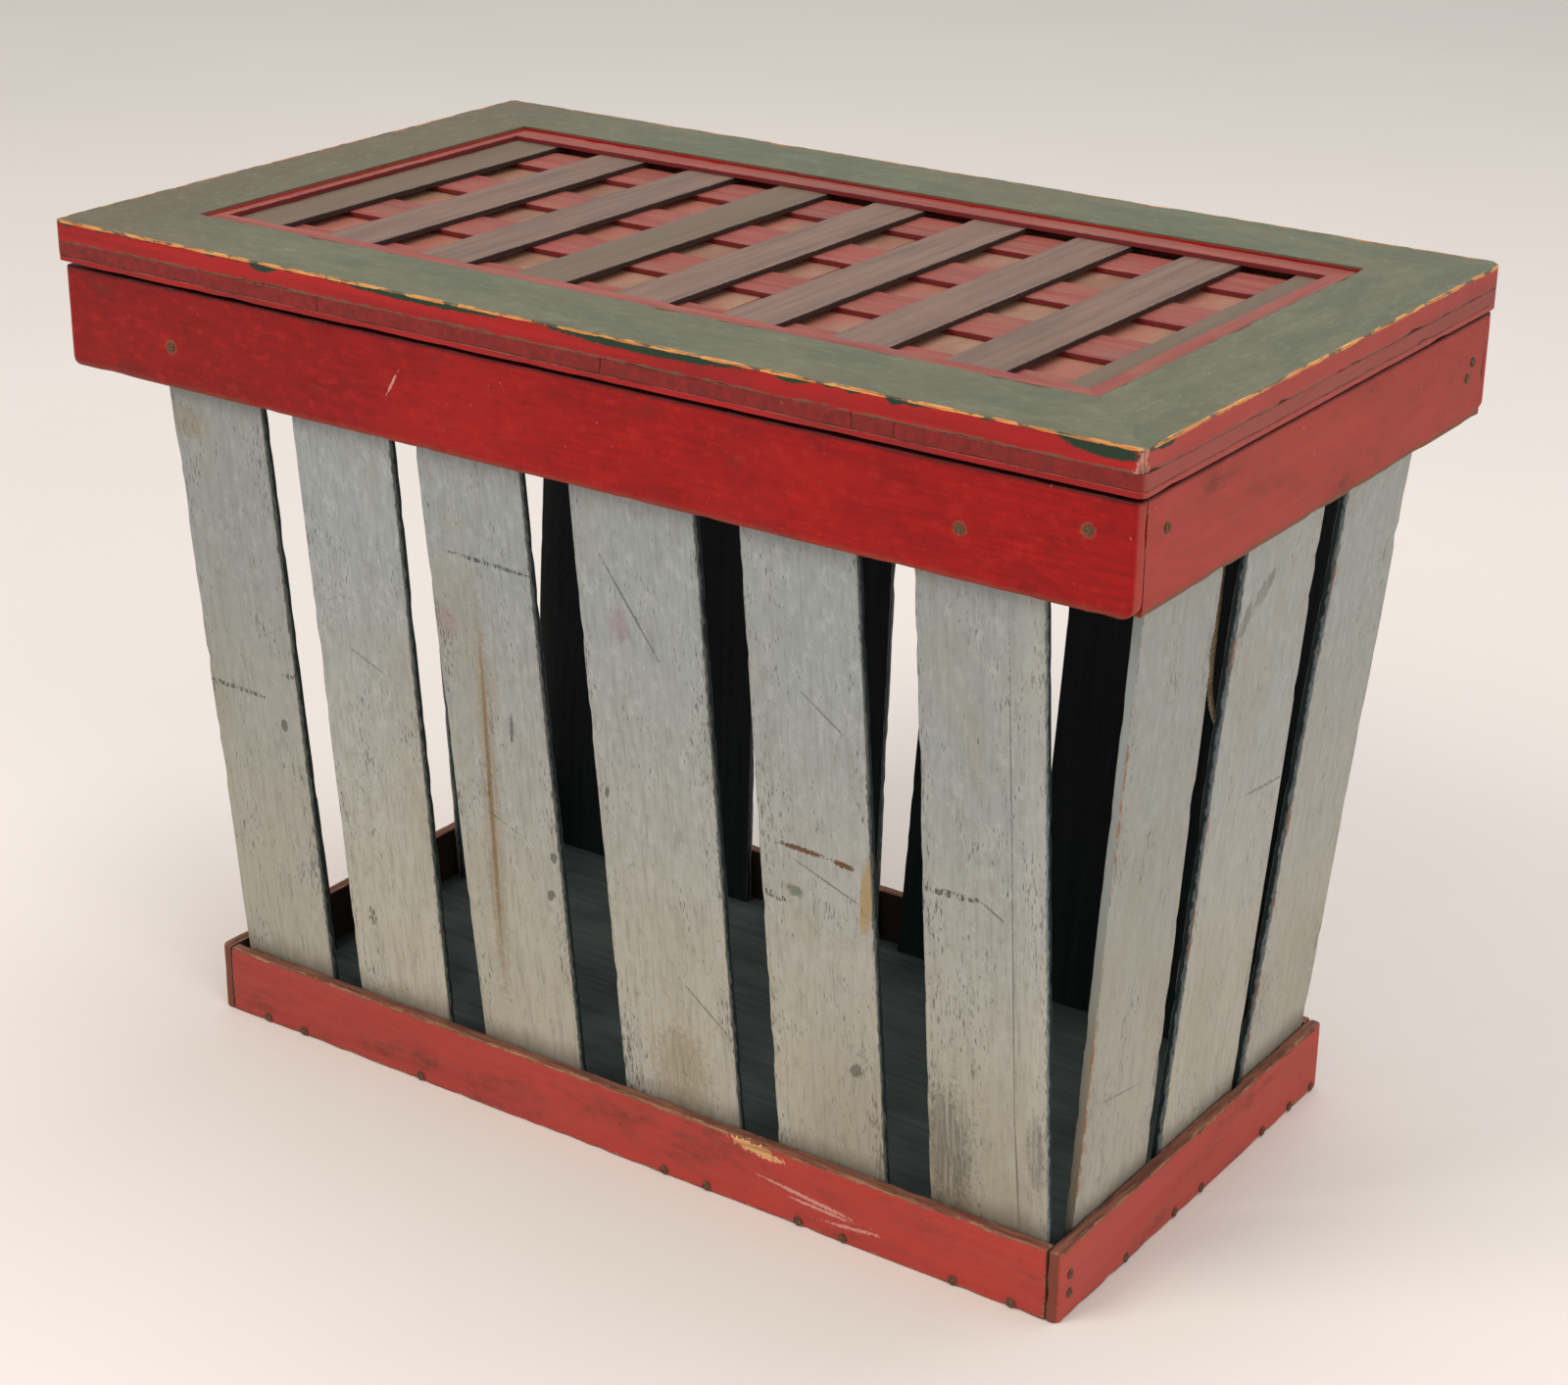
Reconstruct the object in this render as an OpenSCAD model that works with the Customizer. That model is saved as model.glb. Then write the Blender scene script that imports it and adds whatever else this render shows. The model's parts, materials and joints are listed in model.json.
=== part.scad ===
// Slatted poultry transport crate: a shallow base tray, leaning slats on four sides,
// an apron band round the top, and a hinged lid with a lattice set into its frame.
// Millimetres, +Z up, long side along X, front towards -Y.
// Origin: middle of the base's underside.

/* [Lid] */
// Length of the lid
lid_l = 610; // [590:1:640]
// Width of the lid, front to back
lid_w = 356; // [340:1:380]
// Thickness of the thin bottom sheet of the lid
lid_sheet_t = 2.9; // [2:0.1:5]
// Thickness of the middle boards of the lid
lid_board_t = 7.4; // [5:0.1:10]
// Thickness of the four mitred frame boards
lid_frame_t = 10.6; // [9.5:0.1:14]
// Width of the mitred frame boards
lid_frame_w = 50; // [40:1:60]
// Radius of the lid's corners
lid_corner_r = 4; // [2:0.5:8]
// Radius of the lid's worn corner at the back right
lid_worn_corner_r = 10; // [4:0.5:14]

/* [Lattice] */
// Thickness of each lath
lath_t = 2.9; // [2:0.1:3]
// Width of the laths that run front to back
slat_lath_w = 30.5; // [24:0.5:36]
// Spacing of the laths that run front to back
slat_lath_pitch = 59.8; // [56:0.1:60]
// Width of the laths that run left to right
row_lath_w = 33.5; // [26:0.5:40]
// Spacing of the laths that run left to right
row_lath_pitch = 67.4; // [60:0.1:68]
// Thickness of the flat moulding that holds the lattice down
moulding_t = 2.7; // [2:0.1:3.5]
// Width of the moulding strips at the front and the back
moulding_long_w = 14; // [8:0.5:18]
// Width of the moulding strip at the right end
moulding_right_w = 12; // [8:0.5:18]
// Width of the moulding strip at the left end
moulding_left_w = 5.5; // [4:0.5:10]

/* [Apron] */
// Outer length of the apron
apron_l = 605.2; // [590:0.2:606]
// Outer width of the apron
apron_w = 351.8; // [340:0.2:352]
// Height of the apron boards
apron_h = 50.6; // [44:0.2:60]
// Thickness of the apron boards
apron_t = 7; // [6:0.5:8]
// Height of the apron's lower edge above the ground
apron_z = 369.3; // [340:0.1:400]
// Radius of the apron's lower corners, seen from the front
apron_corner_r = 7; // [2:0.5:12]
// Gap between the apron and the closed lid
lid_seam = 2.2; // [1:0.1:2.5]

/* [Base] */
// Outer length of the base
base_l = 528; // [500:1:540]
// Outer width of the base
base_w = 274; // [260:1:290]
// Height of the base boards
base_h = 38; // [30:0.5:46]
// Thickness of the base boards
base_t = 7; // [6:0.5:8]
// Thickness of the floor board
floor_t = 8; // [6:0.5:10]
// Radius of the base's and the apron's upright corners
board_corner_r = 4; // [2:0.5:5]

/* [Slats] */
// Thickness of the slats
slat_t = 5; // [4:0.5:8]
// How far the slats run up behind the apron
slat_lap = 32; // [20:1:36]

/* [Hinges and stay] */
// Distance of each hinge from the middle
hinge_x = 180; // [120:5:230]
// Width of each hinge along its pin
hinge_w = 60; // [40:2:80]
// Radius of the hinge knuckle
knuckle_r = 2.6; // [2.2:0.1:2.6]
// Radius of the hinge pin
pin_r = 1.2; // [1:0.05:1.4]
// Diameter of the stay cord
cord_d = 3; // [2.5:0.5:4]

/* [Hidden] */
$fn = 48;

// Paint and metal colours
red = [0.65, 0.16, 0.14];
grey = [0.63, 0.63, 0.60];
green = [0.45, 0.48, 0.38];
dusk = [0.50, 0.43, 0.38];
teal = [0.15, 0.20, 0.19];
steel = [0.45, 0.43, 0.40];
tan = [0.74, 0.63, 0.48];

// Heights of the layers
apron_top = apron_z + apron_h;
lid_z = apron_top + lid_seam;
board_z = lid_z + lid_sheet_t;
frame_z = board_z + lid_board_t;
lid_top = frame_z + lid_frame_t;
slat_lath_z = frame_z + lath_t;
moulding_z = slat_lath_z + lath_t;

// Opening of the lid's frame; its front and back boards are a little wider than its ends
long_extra_w = 0.5;
open_x = lid_l / 2 - lid_frame_w;
open_y = lid_w / 2 - lid_frame_w - long_extra_w;
slat_lath_shift = 3.3;
row_lath_shift = -4.8;

// Inner faces of the apron and of the base tray
fit = 0.3;
apron_in_x = apron_l / 2 - apron_t;
apron_in_y = apron_w / 2 - apron_t;
base_in_x = base_l / 2 - base_t;
base_in_y = base_w / 2 - base_t;

// Outer face of a slat: its distance from the middle at the base's top and at the apron's lower edge
foot_x = base_in_x - fit;
foot_y = base_in_y - fit;
head_x = apron_in_x - 0.4;
head_y = apron_in_y - 1.3;
lean_x = (head_x - foot_x) / (apron_z - base_h);
lean_y = (head_y - foot_y) / (apron_z - base_h);
slat_top = apron_z + slat_lap;

// Each slat: [middle at the apron's lower edge, middle at the base's top, width]
front_slats = [
    [-212.6, -219.1, 61.3], [-130.5, -138, 61.7], [-52.2, -51.8, 62.8],
    [42.6, 43.6, 70.2], [133.4, 132.6, 61.7], [225.3, 220.7, 64]
];
back_slats = [
    [-233, -221, 70], [-152, -132, 70], [-57, -42, 68],
    [43, 42.5, 66], [128.5, 128.5, 67], [219, 211, 70]
];
right_slats = [[-116.9, -77.4, 70.3], [-20, 10, 75], [77.9, 93.7, 68.8]];
left_slats = [[-88, -90.5, 57], [3, -5.5, 67], [103, 84, 68]];

// Nails: places along the boards, and heights
nail_head_r = 2.4;
nail_shank_r = 0.8;
nail_shank_l = 8.5;
base_nail_z = 3;
base_nail_x = [-231, -205, -122, 38, 64, 119, 145, 207, 239];
base_nail_y = [-72, -23, 5, 72, 103, 128];
corner_nail_z = [13, 23];
apron_nail_long = [[-231, 390], [220, 392], [280, 404]];
apron_nail_end = [[-152, 403], [155, 399], [150, 392]];

// Joints between the middle boards of the lid, along X
board_joints = [-131, 35, 167, 188];
board_gap = 0.3;

// Rails inside the slat heads
rail_z = 378;
rail_h = 36;
rail_t = 12;
rail_gap = 0.1;

// Hinge: axis behind the lid's back edge, level with the seam
knuckle_air = 0.3;
axis_y = lid_w / 2 + knuckle_r + knuckle_air;
axis_z = apron_top + lid_seam / 2;
leaf_t = 1.2;
leaf_h = 24;
lid_leaf_h = 17;
knuckles = 5;
knuckle_gap = 0.3;
pin_play = 0.05;
pin_grip = 0.01;
pin_head_r = 2;
pin_head_h = 1;
screw_x = [-20, 0, 20];
screw_head_r = 2.4;
screw_head_h = 0.9;
screw_shank_r = 1.1;
screw_shank_l = 6;

// Stay eyes: the middles of their rings
eye_ring_r = 3.6;
eye_wire_r = 0.9;
eye_shank_l = 10;
cord_x = 271;
crate_eye = [cord_x, 5, 405];
lid_eye = [cord_x, -27.9, 417];

// Route of the stay cord as [y, z]: down from the crate's eye, round its lowest point
// and up again to just under the lid's eye
cord_route = [
    [4.8, 400], [4, 388], [3.1, 376], [2.1, 364], [1.1, 352], [0, 340],
    [-1.2, 328], [-2.4, 316], [-3.6, 305], [-4.9, 296], [-6.2, 288], [-7.8, 280.5],
    [-9.8, 274.2], [-12.1, 269.6], [-14.8, 266], [-17.6, 263.8], [-20.6, 262.8], [-23.6, 263.1],
    [-26.4, 264.6], [-29, 267.2], [-31.4, 270.4], [-33.7, 274.4], [-35.7, 279], [-37.2, 284.2],
    [-38.1, 290], [-38.4, 296.4], [-38, 303.4], [-37.1, 311], [-36.1, 320], [-35, 330],
    [-34, 341], [-33, 352], [-32, 363], [-31, 374], [-30, 385], [-29, 396],
    [-27.9, 409.3]
];
cord_sides = 8;
knot_r = 3;

// A board standing on edge: length along X, centred, with square ends
module edge_board(l, t, h) {
    translate([-l / 2, -t / 2, 0]) cube([l, t, h]);
}

// A board facing +X whose two outer upright edges are rounded by r
module end_board(t, w, h, r) {
    linear_extrude(h)
        intersection() {
            translate([0, -w / 2]) square([t, w]);
            union() {
                translate([-t, -w / 2]) square([2 * t - r, w]);
                translate([-t, -w / 2 + r]) square([2 * t, w - 2 * r]);
                for (s = [-1, 1])
                    translate([t - r, s * (w / 2 - r)]) circle(r);
            }
        }
}

// The space of a board facing +X whose two lower corners are rounded by r
module worn_corners(t, w, h, r) {
    rotate([90, 0, 90])
        linear_extrude(t)
            union() {
                translate([-w / 2, r]) square([w, h - r]);
                translate([-w / 2 + r, 0]) square([w - 2 * r, h]);
                for (s = [-1, 1])
                    translate([s * (w / 2 - r), r]) circle(r);
            }
}

// A leaning slat, modelled for the front: its outer face passes the foot and head lines,
// it stands on the floor board, and its head is planed flush behind the apron
module slat(spec, foot, lean, inner) {
    z0 = floor_t;
    z1 = slat_top;
    drift = (spec[0] - spec[1]) / (apron_z - base_h);
    mid = function (z) spec[1] + drift * (z - base_h);
    face = function (z) -(foot + lean * (z - base_h));
    depth = slat_t * sqrt(1 + lean * lean);
    shear = [
        [1, 0, drift, mid(0)],
        [0, 1, -lean, face(0)],
        [0, 0, 1, 0],
        [0, 0, 0, 1]
    ];
    intersection() {
        multmatrix(shear)
            translate([-spec[2] / 2, 0, z0]) cube([spec[2], depth, z1 - z0]);
        translate([-lid_l / 2, -inner + 0.2, 0]) cube([lid_l, inner, lid_z]);
    }
}

module front_slat(i) color(grey) slat(front_slats[i], foot_y, lean_y, apron_in_y);
module back_slat(i) color(grey) mirror([0, 1, 0]) slat(back_slats[i], foot_y, lean_y, apron_in_y);
module right_slat(i) color(grey) rotate([0, 0, 90]) slat(right_slats[i], foot_x, lean_x, apron_in_x);
module left_slat(i)
    color(grey) mirror([1, 0, 0]) rotate([0, 0, 90]) slat(left_slats[i], foot_x, lean_x, apron_in_x);

// Base tray
module floor_board() color(teal)
    translate([-base_in_x, -base_in_y, 0]) cube([2 * base_in_x, 2 * base_in_y, floor_t]);

module base_long(side) color(red)
    translate([0, side * (base_in_y + base_t / 2), 0]) edge_board(2 * base_in_x, base_t, base_h);

module base_end(side) color(red)
    mirror([side < 0 ? 1 : 0, 0, 0])
        translate([base_in_x, 0, 0]) end_board(base_t, base_w, base_h, board_corner_r);

// A nail driven along +Y into a face at y = 0
module nail() {
    rotate([90, 0, 0]) cylinder(h = 0.6, r = nail_head_r, $fn = 24);
    rotate([-90, 0, 0]) cylinder(h = nail_shank_l, r = nail_shank_r, $fn = 16);
}

module nails_along(points, face) {
    for (p = points)
        translate([p[0], -face, p[1]]) nail();
}

module base_nails() color(steel) {
    long_points = [for (x = base_nail_x) [x, base_nail_z]];
    end_points = concat(
        [for (y = base_nail_y) [y, base_nail_z]],
        [for (z = corner_nail_z) [-127, z]]
    );
    for (m = [0, 1]) {
        mirror([0, m, 0]) nails_along(long_points, base_w / 2);
        mirror([m, 0, 0]) rotate([0, 0, 90]) nails_along(end_points, base_l / 2);
    }
}

// Apron band
module apron_long(side) color(red)
    rotate([0, 0, 90 * side])
        translate([apron_in_y, 0, apron_z])
            intersection() {
                end_board(apron_t, apron_l, apron_h, board_corner_r);
                worn_corners(apron_t, apron_l, apron_h, apron_corner_r);
            }

module apron_end(side) color(red)
    translate([side * (apron_in_x + apron_t / 2), 0, apron_z])
        rotate([0, 0, 90]) edge_board(2 * apron_in_y, apron_t, apron_h);

module apron_nails() color(steel)
    for (m = [0, 1]) {
        mirror([0, m, 0]) nails_along(apron_nail_long, apron_w / 2);
        mirror([m, 0, 0]) rotate([0, 0, 90]) nails_along(apron_nail_end, apron_l / 2);
    }

// Rail profile in the plane across the board: its outer face follows the slats' inner faces
function rail_outer(foot, lean, z) = foot + lean * (z - base_h) - slat_t * sqrt(1 + lean * lean) - rail_gap;

module rail(foot, lean, l) {
    low = rail_outer(foot, lean, rail_z);
    high = rail_outer(foot, lean, rail_z + rail_h);
    rotate([90, 0, 90])
        translate([0, 0, -l / 2])
            linear_extrude(l)
                polygon([[-low, rail_z], [-low + rail_t, rail_z], [-low + rail_t, rail_z + rail_h],
                    [-high, rail_z + rail_h]]);
}

module long_rails() color(teal) {
    l = 2 * (rail_outer(foot_x, lean_x, rail_z) - rail_gap);
    for (m = [0, 1]) mirror([0, m, 0]) rail(foot_y, lean_y, l);
}

module end_rails() color(teal) {
    l = 2 * (rail_outer(foot_y, lean_y, rail_z) - rail_t - rail_gap);
    for (m = [0, 1]) mirror([m, 0, 0]) rotate([0, 0, 90]) rail(foot_x, lean_x, l);
}

// Outline of the whole lid, with rounded corners
module lid_outline() {
    corners = [
        [1, -1, lid_corner_r], [1, 1, lid_worn_corner_r],
        [-1, 1, lid_corner_r], [-1, -1, lid_corner_r]
    ];
    difference() {
        square([lid_l, lid_w], center = true);
        for (c = corners)
            translate([c[0] * (lid_l / 2 - c[2]), c[1] * (lid_w / 2 - c[2])])
                difference() {
                    translate([c[0] > 0 ? 0 : -2 * c[2], c[1] > 0 ? 0 : -2 * c[2]]) square(2 * c[2]);
                    circle(c[2]);
                }
    }
}

// The quarter of a mitred rectangle that faces -Y; size is its half length and half width
module mitre_wedge(hx, hy, wl, wr, w) {
    polygon([[-hx, -hy], [hx, -hy], [hx - wr, -hy + w], [-hx + wl, -hy + w]]);
}

module lid_sheet() color(red)
    translate([0, 0, lid_z]) linear_extrude(lid_sheet_t) lid_outline();

module lid_boards() color(red) {
    edges = concat([-lid_l / 2], board_joints, [lid_l / 2]);
    translate([0, 0, board_z])
        for (i = [0:len(edges) - 2])
            linear_extrude(lid_board_t)
                intersection() {
                    lid_outline();
                    translate([edges[i] + (i == 0 ? -1 : board_gap / 2), -lid_w])
                        square([edges[i + 1] - edges[i] - board_gap + (i == 0 ? 1 : 0), 2 * lid_w]);
                }
}

module frame_piece(shape) color(green)
    translate([0, 0, frame_z]) linear_extrude(lid_frame_t)
        intersection() {
            lid_outline();
            polygon(shape);
        }

module lid_frame_long(side) {
    x = lid_l / 2;
    y = side * lid_w / 2;
    frame_piece([[-x, y], [x, y], [open_x, side * open_y], [-open_x, side * open_y]]);
}

module lid_frame_end(side) {
    x = side * lid_l / 2;
    y = lid_w / 2;
    frame_piece([[x, -y], [x, y], [side * open_x, open_y], [side * open_x, -open_y]]);
}

// Lattice: rows of laths on the boards, and laths across them
module row_lath(i) color(red)
    translate([-open_x + fit, row_lath_pitch * (1.5 - i) - row_lath_w / 2 + row_lath_shift, frame_z])
        cube([2 * (open_x - fit), row_lath_w, lath_t]);

module slat_lath(i) {
    x = slat_lath_pitch * (i - 4) + slat_lath_shift;
    color(dusk)
        intersection() {
            translate([x - slat_lath_w / 2, -open_y + fit, slat_lath_z])
                cube([slat_lath_w, 2 * (open_y - fit), lath_t]);
            translate([-open_x + fit, -lid_w, 0]) cube([2 * (open_x - fit), 2 * lid_w, 2 * lid_top]);
        }
}

module moulding(shape) color(red)
    translate([0, 0, moulding_z]) linear_extrude(moulding_t) polygon(shape);

module moulding_long(side) {
    y = side * (open_y - fit);
    in_y = y - side * moulding_long_w;
    x = open_x - fit;
    moulding([[-x, y], [x, y], [x - moulding_right_w, in_y], [-x + moulding_left_w, in_y]]);
}

module moulding_end(side, w) {
    x = side * (open_x - fit);
    in_x = x - side * w;
    y = open_y - fit;
    in_y = y - moulding_long_w;
    moulding([[x, -y], [x, y], [in_x, in_y], [in_x, -in_y]]);
}

// Hinges: knuckle segments along X, even ones on the crate's leaf, odd ones on the lid's
function knuckle_x(i) = -hinge_w / 2 + i * hinge_w / knuckles;

// A knuckle and the tongue that joins it to its leaf, from tongue_y[0] to [1] and tongue_z[0] to [1]
module knuckle(i, tongue_y, tongue_z, bore) {
    l = hinge_w / knuckles - knuckle_gap;
    translate([knuckle_x(i) + knuckle_gap / 2, 0, 0])
        difference() {
            union() {
                rotate([0, 90, 0]) cylinder(h = l, r = knuckle_r);
                translate([0, tongue_y[0], tongue_z[0]])
                    cube([l, tongue_y[1] - tongue_y[0], tongue_z[1] - tongue_z[0]]);
            }
            translate([-1, 0, 0]) rotate([0, 90, 0]) cylinder(h = l + 2, r = bore);
        }
}

module screw_heads(y, z) {
    for (x = screw_x)
        translate([x, y, z]) rotate([-90, 0, 0]) {
            cylinder(h = screw_head_h, r = screw_head_r, $fn = 24);
            rotate([180, 0, 0]) cylinder(h = screw_shank_l, r = screw_shank_r, $fn = 16);
        }
}

module at_hinges() {
    for (s = [-1, 1])
        translate([s * hinge_x, axis_y, axis_z]) children();
}

module crate_hinge_leaves() color(steel)
    at_hinges() {
        back = apron_w / 2 - axis_y;
        plate_top = -knuckle_r + leaf_t;
        for (i = [0:2:knuckles - 1])
            knuckle(i, [back, 0], [-knuckle_r, plate_top], pin_r + pin_grip);
        translate([-hinge_w / 2, back, plate_top - leaf_h]) cube([hinge_w, leaf_t, leaf_h]);
        screw_heads(back + leaf_t, plate_top - leaf_h / 2);
    }

module lid_hinge_leaves() color(steel)
    at_hinges() {
        front = lid_w / 2 - axis_y;
        plate_z = knuckle_r + knuckle_air;
        for (i = [1:2:knuckles - 1])
            knuckle(i, [front, front + leaf_t], [0, plate_z], pin_r + pin_play);
        translate([-hinge_w / 2, front, plate_z]) cube([hinge_w, leaf_t, lid_leaf_h]);
        screw_heads(front + leaf_t, plate_z + lid_leaf_h / 2);
    }

module hinge_pins() color(steel)
    at_hinges()
        rotate([0, 90, 0]) {
            cylinder(h = hinge_w, r = pin_r, center = true);
            for (s = [-1, 1])
                translate([0, 0, s * (hinge_w + pin_head_h) / 2])
                    cylinder(h = pin_head_h, r = pin_head_r, center = true);
        }

// Screw eyes for the stay cord: the ring hangs from a shank along +Z
module screw_eye() {
    rotate([90, 0, 0]) rotate_extrude() translate([eye_ring_r, 0]) circle(eye_wire_r, $fn = 16);
    translate([0, 0, eye_ring_r]) cylinder(h = eye_shank_l, r = eye_wire_r, $fn = 16);
}

module crate_stay_eye() color(steel)
    translate(crate_eye) rotate([0, 90, 0]) screw_eye();

module lid_stay_eye() color(steel)
    translate(lid_eye) rotate([0, 0, 90]) screw_eye();

// Stay cord: a tube swept along its route, with a knot at each end
cord_points = [for (p = cord_route) [cord_x, p[0], p[1]]];
rings = len(cord_points);

function unit(v) = v / norm(v);
function along(i) = unit(cord_points[min(i + 1, rings - 1)] - cord_points[max(i - 1, 0)]);
function ring(i) = [
    for (k = [0:cord_sides - 1])
        let (a = 360 * k / cord_sides, across = cross(along(i), [1, 0, 0]))
            cord_points[i] + cord_d / 2 * (cos(a) * across - [sin(a), 0, 0])
];

module stay_cord() color(tan) {
    side_faces = [
        for (i = [0:rings - 2], k = [0:cord_sides - 1])
            let (k2 = (k + 1) % cord_sides, a = i * cord_sides, b = a + cord_sides)
                [a + k, b + k, b + k2, a + k2]
    ];
    first_cap = [for (k = [0:cord_sides - 1]) k];
    last_cap = [for (k = [cord_sides - 1:-1:0]) (rings - 1) * cord_sides + k];
    polyhedron(
        points = [for (i = [0:rings - 1]) each ring(i)],
        faces = concat(side_faces, [first_cap], [last_cap])
    );
    for (p = [cord_points[0], cord_points[rings - 1]])
        translate(p) sphere(knot_r, $fn = 24);
}

floor_board();
base_long(-1);  // base_front
base_long(1);  // base_back
base_end(-1);  // base_left
base_end(1);  // base_right
base_nails();
for (i = [0:len(front_slats) - 1])
    front_slat(i);
for (i = [0:len(back_slats) - 1])
    back_slat(i);
for (i = [0:len(left_slats) - 1])
    left_slat(i);
for (i = [0:len(right_slats) - 1])
    right_slat(i);
long_rails();
end_rails();
apron_long(-1);  // apron_front
apron_long(1);  // apron_back
apron_end(-1);  // apron_left
apron_end(1);  // apron_right
apron_nails();
crate_hinge_leaves();
hinge_pins();
crate_stay_eye();
stay_cord();
lid_sheet();
lid_boards();
lid_frame_long(-1);  // lid_frame_front
lid_frame_long(1);  // lid_frame_back
lid_frame_end(-1);  // lid_frame_left
lid_frame_end(1);  // lid_frame_right
for (i = [0:3])
    row_lath(i);
for (i = [0:8])
    slat_lath(i);
moulding_long(-1);  // moulding_front
moulding_long(1);  // moulding_back
moulding_end(-1, moulding_left_w);  // moulding_left
moulding_end(1, moulding_right_w);  // moulding_right
lid_hinge_leaves();
lid_stay_eye();
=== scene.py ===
"""Looks of the slatted poultry transport crate: worn paint on thin boards, a twine stay and rusty iron."""

import json
import math
import random

import bmesh
import bpy
import numpy as np
from mathutils import Matrix, Vector, noise

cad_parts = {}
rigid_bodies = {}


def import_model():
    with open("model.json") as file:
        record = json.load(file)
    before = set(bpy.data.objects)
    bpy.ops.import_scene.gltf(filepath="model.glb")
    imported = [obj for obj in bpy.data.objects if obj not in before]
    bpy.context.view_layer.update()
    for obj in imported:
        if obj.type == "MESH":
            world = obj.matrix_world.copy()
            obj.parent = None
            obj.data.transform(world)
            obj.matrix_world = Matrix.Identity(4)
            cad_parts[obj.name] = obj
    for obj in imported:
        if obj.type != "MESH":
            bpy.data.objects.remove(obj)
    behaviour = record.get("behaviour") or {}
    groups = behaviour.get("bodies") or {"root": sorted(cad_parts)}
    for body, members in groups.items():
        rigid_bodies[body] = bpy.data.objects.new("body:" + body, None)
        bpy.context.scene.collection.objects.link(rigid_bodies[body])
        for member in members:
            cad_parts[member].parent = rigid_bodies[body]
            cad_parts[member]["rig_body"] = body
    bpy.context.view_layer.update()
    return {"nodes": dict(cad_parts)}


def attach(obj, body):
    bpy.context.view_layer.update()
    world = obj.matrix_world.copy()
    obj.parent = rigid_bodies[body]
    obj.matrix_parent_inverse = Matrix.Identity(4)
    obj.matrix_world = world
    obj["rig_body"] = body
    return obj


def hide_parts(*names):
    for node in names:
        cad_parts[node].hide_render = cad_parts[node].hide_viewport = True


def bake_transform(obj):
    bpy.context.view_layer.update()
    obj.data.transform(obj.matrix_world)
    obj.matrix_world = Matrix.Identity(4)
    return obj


MM = 0.001
# Places on the crate that the paints change at, in metres
LID_HALF_L = 0.305
LID_HALF_W = 0.178
APRON_TOP = 0.4199
APRON_LOW = 0.3693
TRAY_TOP = 0.038

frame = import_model()
nodes = frame["nodes"]


# ---------------------------------------------------------------- camera

def make_camera():
    """Stands in front of the crate's right front corner and looks down on it."""
    azimuth = math.radians(34.48)
    elevation = math.radians(22.65)
    roll = math.radians(0.69)
    distance = 1.668
    aim_right, aim_up = 0.0129, 0.1897
    back = Vector((math.sin(azimuth) * math.cos(elevation), -math.cos(azimuth) * math.cos(elevation),
                   math.sin(elevation)))
    level = Vector((math.cos(azimuth), math.sin(azimuth), 0))
    upright = back.cross(level)
    right = math.cos(roll) * level + math.sin(roll) * upright
    up = math.cos(roll) * upright - math.sin(roll) * level
    data = bpy.data.cameras.new("camera")
    data.lens = 70.91
    data.sensor_width = 36
    data.sensor_fit = "HORIZONTAL"
    camera = bpy.data.objects.new("camera", data)
    bpy.context.scene.collection.objects.link(camera)
    turn = Matrix((right, up, back)).transposed().to_4x4()
    camera.matrix_world = Matrix.Translation(aim_right * right + aim_up * up + distance * back) @ turn
    bpy.context.scene.camera = camera


make_camera()


# ---------------------------------------------------------------- mesh helpers

def mesh_object(name, points, faces, smooth=False):
    mesh = bpy.data.meshes.new(name)
    mesh.from_pydata([tuple(p) for p in points], [], faces)
    mesh.update()
    if smooth:
        mesh.shade_smooth()
    else:
        mesh.shade_flat()
    made = bpy.data.objects.new(name, mesh)
    bpy.context.scene.collection.objects.link(made)
    return made


def give(mesh, name, kind, values):
    """Stores one value per vertex for the materials to read."""
    attribute = mesh.attributes.new(name, kind, "POINT")
    key = "vector" if kind == "FLOAT_VECTOR" else "value"
    attribute.data.foreach_set(key, np.asarray(values, np.float32).ravel())


def spline(points, step):
    """Points about `step` apart on a smooth curve through the given ones."""
    p = [Vector(q) for q in points]
    p = [2 * p[0] - p[1], *p, 2 * p[-1] - p[-2]]
    found = []
    for i in range(1, len(p) - 2):
        a, b, c, d = p[i - 1 : i + 3]
        parts = max(1, round((c - b).length / step))
        for k in range(parts):
            t = k / parts
            found.append(0.5 * (2 * b + (c - a) * t + (2 * a - 5 * b + 4 * c - d) * t * t
                                + (3 * b - a - 3 * c + d) * t ** 3))
    found.append(p[-2])
    return found


def twisted_tube(name, path, radius, pitch=0.0085, lobes=3, sides=18, closed=False):
    """A laid cord: its section has a lobe for each strand, and turns once every `pitch`."""
    count = len(path)
    points, along, around = [], [], []
    normal = None
    length = 0
    for i, p in enumerate(path):
        if closed:
            tangent = (path[(i + 1) % count] - path[i - 1]).normalized()
        else:
            tangent = (path[min(i + 1, count - 1)] - path[max(i - 1, 0)]).normalized()
        if normal is None:
            normal = tangent.orthogonal()
        normal = (normal - normal.dot(tangent) * tangent).normalized()
        side = tangent.cross(normal)
        if i:
            length += (p - path[i - 1]).length
        turn = 2 * math.pi * length / pitch
        for k in range(sides):
            angle = 2 * math.pi * k / sides
            lobe = abs(math.cos(lobes * angle / 2))
            r = radius * (0.8 + 0.2 * lobe)
            points.append(p + r * (math.cos(angle + turn) * normal + math.sin(angle + turn) * side))
            along.append(length)
            around.append(lobe)
    faces = []
    for i in range(count if closed else count - 1):
        j = (i + 1) % count
        for k in range(sides):
            m = (k + 1) % sides
            faces.append((i * sides + k, i * sides + m, j * sides + m, j * sides + k))
    if not closed:
        faces.append(tuple(reversed(range(sides))))
        faces.append(tuple(range((count - 1) * sides, count * sides)))
    made = mesh_object(name, points, faces, smooth=True)
    give(made.data, "strand", "FLOAT_VECTOR", [(a, l, 0) for a, l in zip(along, around)])
    return made


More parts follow.
